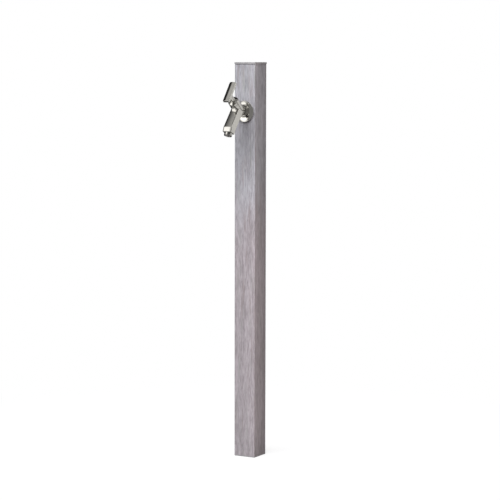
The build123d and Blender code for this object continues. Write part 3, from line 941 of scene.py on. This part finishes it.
@dataclass
class LeverHandle(TapPiece):
    """Flat bar with a crowned outer face on a round neck, cast in one, with a socket for the spindle."""

    up: float = 43.5 * MM
    down: float = 27 * MM
    width: float = 22 * MM
    thickness: float = 8.1 * MM
    underside: float = 66.1 * MM
    corner: float = 3 * MM
    edge: float = 0.8 * MM
    edge_steps: int = 4
    crown: float = 2.0 * MM
    crown_power: float = 1.3
    strips: tuple[float, ...] = (0, 2 * MM, 4 * MM, 6 * MM, 8 * MM)
    neck: float = 8 * MM
    neck_edge: float = 0.5 * MM
    flare: float = 2.4 * MM
    flare_end: float = 95.0
    neck_base: float = 35.65 * MM
    socket: float = 4.05 * MM
    socket_top: float = 51.65 * MM
    grub_height: float = 44.35 * MM
    grub_start: float = 3.4 * MM
    grub: float = 2.5 * MM
    grub_steps: int = 48
    crease: float = 32.0
    face_weight: int = 90

    def bar(self) -> Piece:
        """Shapes the bar: rounded corners, then a crown across its outer face, then soft edges.

        Returns:
            The solid bar, in the frame of the valve.
        """
        length = self.up + self.down
        middle = (0, (self.up - self.down) / 2, self.underside + self.thickness / 2)
        size = (self.width, length, self.thickness)
        bar = Piece("lever_handle", "cube", size=1, location=middle, scale=size)
        bar.pick_edges(lambda first, second: abs(first.z - second.z) > self.thickness / 2)
        bpy.ops.mesh.bevel(offset=self.corner, segments=EDGE_STEPS, affect="EDGES")
        bar.split(self.strips)
        bar.leave()
        face = self.underside + self.thickness - NEAR
        points = bar.object.data.vertices
        places = {round(abs(point.co.x), PLACE_DIGITS) for point in points if point.co.z > face}
        for place in sorted(places):
            drop = self.crown * (2 * place / self.width) ** self.crown_power
            bar.pick_points(lambda point, at=place: point.z > face and abs(abs(point.x) - at) < NEAR)
            bpy.ops.transform.translate(value=(0, 0, -drop))
            bar.leave()
        bar.tidy()
        bar.round_edges(self.edge, self.edge_steps)
        return bar

    def build(self) -> Piece:
        """Joins the bar and the neck, and bores the socket and the grub screw's hole.

        Returns:
            The lever.
        """
        lever = self.bar()
        wide = self.neck + self.flare
        neck = turned("lever_neck", [
            (self.neck - self.neck_edge, self.neck_base), (self.neck, self.neck_base + self.neck_edge),
            *arc((wide, self.underside - self.flare), self.flare, 180, self.flare_end, FILLET_STEPS),
            (wide, self.underside + OVERLAP),
        ])
        lever.combine(neck)
        socket = turned("lever_socket", [
            (self.socket, self.neck_base - OVERLAP), (self.socket, self.socket_top),
        ])
        lever.combine(socket, "DIFFERENCE")
        hole = turned("grub_hole", [
            (self.grub, self.grub_start), (self.grub, self.neck + OVERLAP),
        ], steps=self.grub_steps)
        hole.place(Matrix.Translation((0, 0, self.grub_height)) @ Matrix.Rotation(math.radians(-90), 4, "X"))
        lever.combine(hole, "DIFFERENCE")
        lever.tidy()
        lever.place(self.lines.at_head())
        lever.shade(self.crease)
        lever.modify("WEIGHTED_NORMAL", mode="FACE_AREA", weight=self.face_weight, keep_sharp=True)
        return lever


@dataclass
class Escutcheon(TapPiece):
    """Domed disc that covers the hole in the post; its brim stands a little off the post."""

    radius: float = 31.5 * MM
    foot: float = 28 * MM
    back: float = 1 * MM
    brim: float = 4.4 * MM
    rim: float = 5.2 * MM
    front: float = 10.5 * MM
    seat: float = 17 * MM
    hole: float = 10.5 * MM
    shell: float = 1.2 * MM
    edge: float = 1 * MM
    edge_end: float = 80.0
    dome_shares: tuple[float, ...] = (0.0, 0.12, 0.25, 0.4, 0.55, 0.7, 0.85, 1.0)
    dome_power: float = 0.85
    wall_lean: float = 0.3
    steps: int = 128
    crease: float = 35.0

    def dome(self) -> list[Ring]:
        """Works out the disc's face from its rounded rim to its flat middle.

        Returns:
            The face's rings as (radius, height).
        """
        start, foot = self.radius - self.edge, self.rim + self.edge
        span, rise = start - self.seat, self.front - self.rim - self.edge
        bulges = [math.sin(share * math.pi / 2) ** self.dome_power for share in self.dome_shares]
        shares = zip(self.dome_shares, bulges)
        return [(start - span * share, foot + rise * bulge) for share, bulge in shares]

    def build(self) -> Piece:
        """Turns the disc as a pressed shell.

        Returns:
            The disc.
        """
        dome = self.dome()
        lean = self.shell * self.wall_lean
        inside = [(radius - lean, height - self.shell) for radius, height in reversed(dome)]
        brim = (self.radius - self.edge / 2, self.brim - self.edge / 2)
        disc = turned("escutcheon", [
            (self.foot, self.back), brim, (self.radius, self.brim), (self.radius, self.rim),
            *arc((self.radius - self.edge, self.rim), self.edge, 0, self.edge_end)[1:], *dome[1:],
            (self.hole, self.front), (self.hole, self.front - self.shell), *inside[:-1],
            (self.radius - self.shell, self.brim), (self.foot - self.shell, self.back),
        ], tube=True, steps=self.steps)
        disc.place(self.lines.at_inlet())
        disc.shade(self.crease)
        return disc


@dataclass
class OutletNozzle(TapPiece):
    """Round screwed mouthpiece at the end of the spout."""

    radius: float = 12.2 * MM
    length: float = 9.2 * MM
    bore: float = 7 * MM
    spigot: float = 9.4 * MM
    spigot_length: float = 8 * MM
    edge: float = 1 * MM
    lip: float = 0.7 * MM
    gap: float = 0.05 * MM
    mouth: float = 2.2 * MM
    mouth_depth: float = 1.2 * MM
    crease: float = 35.0

    def build(self) -> Piece:
        """Turns the mouthpiece with its rounded rim.

        Returns:
            The mouthpiece.
        """
        end = self.length - self.edge
        mouth = self.bore + self.mouth
        nozzle = turned("outlet_nozzle", [
            (self.spigot, -self.spigot_length), (self.spigot, self.gap),
            (self.radius - self.lip, self.gap), (self.radius, self.lip), (self.radius, end),
            *arc((self.radius - self.edge, end), self.edge, 0, 90)[1:],
            (mouth, self.length), (mouth - self.lip, self.length - self.lip),
            (self.bore, self.length - self.mouth_depth), (self.bore, -self.spigot_length),
        ], tube=True)
        nozzle.place(self.lines.at_outlet())
        nozzle.shade(self.crease)
        return nozzle


@dataclass
class Tap:
    """The tap: the pieces of it that show, each in the place of its node in the frame."""

    lines: TapLines = field(default_factory=TapLines)

    def build(self, finishes: Finishes) -> None:
        """Builds the pieces, dresses them and hangs each on its body.

        Args:
            finishes: the standpipe's finishes.
        """
        for maker, body in (
            (TapBody, Body.STANDPIPE),
            (BonnetCover, Body.STANDPIPE),
            (LeverHandle, Body.LEVER),
            (Escutcheon, Body.STANDPIPE),
            (OutletNozzle, Body.STANDPIPE),
        ):
            made = maker(self.lines).build().object
            node = made.name.split(".")[0]
            made.name = f"{node}_form"
            finishes.dress(made, Slot.SATIN_METAL)
            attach(made, body.value)
            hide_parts(node)
            log.info("%s: %d faces", made.name, len(made.data.polygons))


@dataclass(frozen=True)
class Window:
    """A soft patch of light on the room's walls, named by the direction it lies in.

    Args:
        towards: the direction of its middle.
        full: how far from the middle it is fully bright, in degrees.
        dark: how far from the middle it has faded out, in degrees.
        strength: its brightness.
    """

    towards: Triple
    full: float
    dark: float
    strength: float


@dataclass(frozen=True)
class SoftLamp:
    """A soft lamp that lights the piece and shows in no reflection.

    Args:
        name: the lamp's name.
        place: where it hangs.
        target: the point it faces.
        size: the width and height of its face in metres.
        power: its power in watts.
        colour: the colour of its light.
    """

    name: str
    place: Triple
    target: Triple
    size: tuple[float, float]
    power: float
    colour: Colour

    def hang(self) -> None:
        """Adds the lamp to the scene."""
        lamp = bpy.data.lights.new(self.name, "AREA")
        lamp.shape = "RECTANGLE"
        lamp.size, lamp.size_y = self.size
        lamp.energy = self.power
        lamp.color = self.colour
        made = bpy.data.objects.new(self.name, lamp)
        bpy.context.scene.collection.objects.link(made)
        place = Vector(self.place)
        made.location = place
        made.rotation_euler = (Vector(self.target) - place).to_track_quat("-Z", "Y").to_euler()
        made.visible_glossy = False
        made.visible_camera = False


@dataclass
class Studio:
    """Pale floor, soft light and the camera."""

    azimuth: float = math.radians(29.2)
    distance: float = 6.0
    height: float = 1.241
    pitch: float = math.radians(5.80)
    yaw: float = math.radians(0.009)
    roll: float = math.radians(0.109)
    lens: float = 142.85
    sensor: float = 36.0
    reach: float = 100.0
    floor_side: float = 60.0
    floor_colour: Colour = (0.90, 0.90, 0.90)
    floor_roughness: float = 0.9
    floor_fade: Fade = Fade(0.35, 1.3, 0.8, 1.0)
    backdrop: Colour = (1.0, 1.0, 1.0)
    glow: float = 1.0
    window_colour: Colour = (1.0, 0.985, 0.96)
    haze: float = 0.09
    room: float = 0.02
    # The key hangs broad and high in front, the strip stands by the front right edge, the fill is behind.
    lamps: tuple[SoftLamp, ...] = (
        SoftLamp("key", (-1.0, -5.4, 7.4), (0.0, 0.0, 0.6), (8.0, 6.6), 1530.0, (0.99, 1.0, 1.02)),
        SoftLamp("strip", (0.13, -0.08, 0.65), (0.0, 0.0, 0.65), (0.03, 1.42), 0.62, (1.0, 0.90, 0.88)),
        SoftLamp("fill", (-3.6, 4.2, 2.6), (0.0, 0.0, 0.6), (6.0, 6.0), 330.0, (1.0, 0.98, 0.97)),
    )
    windows: tuple[Window, ...] = (
        Window((-0.53, -0.70, 0.48), 12, 18, 1.6),
        Window((-0.50, -0.68, -0.50), 14, 28, 1.9),
        Window((-0.36, -0.60, 0.72), 16, 37, 0.62),
        Window((-0.66, 0.15, 0.73), 6, 16, 0.05),
        Window((0.55, -0.10, 0.83), 22, 30, 1.6),
        Window((0.55, 0.83, 0.05), 18, 36, 0.75),
        Window((-0.15, 0.50, 0.85), 12, 20, 1.6),
        Window((-0.95, -0.30, 0.0), 8, 16, 0.55),
        Window((0.12, -0.97, -0.10), 32, 60, 0.25),
        Window((0.49, 0.24, -0.84), 22, 40, 0.75),
        Window((-0.16, 0.13, -0.98), 8, 15, 1.4),
        Window((1.0, 0.0, -0.1), 22, 32, 0.45),
    )

    def floor(self) -> None:
        """Makes the floor: matt near the post and as bright as the backdrop further out."""
        bpy.ops.object.select_all(action="DESELECT")
        bpy.ops.mesh.primitive_plane_add(size=self.floor_side, location=(0, 0, 0))
        floor = bpy.context.object
        floor.name = "floor"
        material = bpy.data.materials.new("pale_floor")
        material.use_nodes = True
        shader = Shader(material.node_tree)
        length = shader.node("ShaderNodeVectorMath", {"operation": "LENGTH"}, {0: shader.place()})
        share = shader.ramp(Term(shader, length.outputs["Value"]), self.floor_fade)
        look = {"Base Color": self.floor_colour, "Roughness": self.floor_roughness}
        matt = shader.node("ShaderNodeBsdfPrincipled", None, look)
        glow = shader.node("ShaderNodeEmission", None, {"Color": self.backdrop, "Strength": self.glow})
        shader.show("ShaderNodeOutputMaterial", shader.blend(share, matt, glow))
        floor.data.materials.append(material)
        floor.visible_glossy = False
        floor.visible_diffuse = False

    def surroundings(self) -> None:
        """Makes the room: windows for reflections, an even haze for matt faces and a pale backdrop."""
        world = bpy.data.worlds.new("studio")
        world.use_nodes = True
        bpy.context.scene.world = world
        shader = Shader(world.node_tree)
        direction = shader.node("ShaderNodeTexCoord").outputs["Generated"]
        light: Term | float = self.room
        for window in self.windows:
            towards = tuple(Vector(window.towards).normalized())
            inputs = {0: direction, 1: towards}
            near = shader.node("ShaderNodeVectorMath", {"operation": "DOT_PRODUCT"}, inputs)
            edge, middle = (math.cos(math.radians(angle)) for angle in (window.dark, window.full))
            fade = Fade(edge, middle, 0.0, window.strength)
            patch = shader.ramp(Term(shader, near.outputs["Value"]), fade)
            light = patch.at_least(light)
        room, haze, seen = (
            shader.node("ShaderNodeBackground", None, {"Color": colour, "Strength": strength})
            for colour, strength in (
                (self.window_colour, light), (self.backdrop, self.haze), (self.backdrop, self.glow)
            )
        )
        rays = shader.node("ShaderNodeLightPath").outputs
        lit = shader.blend(rays["Is Diffuse Ray"], room, haze)
        shader.show("ShaderNodeOutputWorld", shader.blend(rays["Is Camera Ray"], lit, seen))
        world.cycles.sampling_method = "NONE"

    def camera(self) -> None:
        """Sets the camera at the photograph's viewing angle."""
        data = bpy.data.cameras.new("camera")
        data.lens = self.lens
        data.sensor_width = self.sensor
        data.clip_end = self.reach
        made = bpy.data.objects.new("camera", data)
        bpy.context.scene.collection.objects.link(made)
        place = Vector((math.sin(self.azimuth), -math.cos(self.azimuth), 0)) * self.distance
        heading = self.azimuth + self.yaw
        forward = Vector((-math.sin(heading), math.cos(heading), 0)) * math.cos(self.pitch)
        forward.z = -math.sin(self.pitch)
        made.location = place + Vector((0, 0, self.height))
        turn = forward.to_track_quat("-Z", "Y").to_matrix() @ Matrix.Rotation(self.roll, 3, "Z")
        made.rotation_euler = turn.to_euler()
        bpy.context.scene.camera = made

    def build(self) -> None:
        """Sets up the whole studio."""
        self.floor()
        self.surroundings()
        for lamp in self.lamps:
            lamp.hang()
        self.camera()
        bpy.context.scene.view_settings.view_transform = "Standard"


def main() -> None:
    """Builds the pieces in order, dresses them and sets up the studio."""
    logging.basicConfig(level=logging.INFO, format="%(message)s")
    finishes = Finishes()
    finishes.dress_cad()
    Tap().build(finishes)
    Studio().build()


if __name__ == "__main__":
    main()
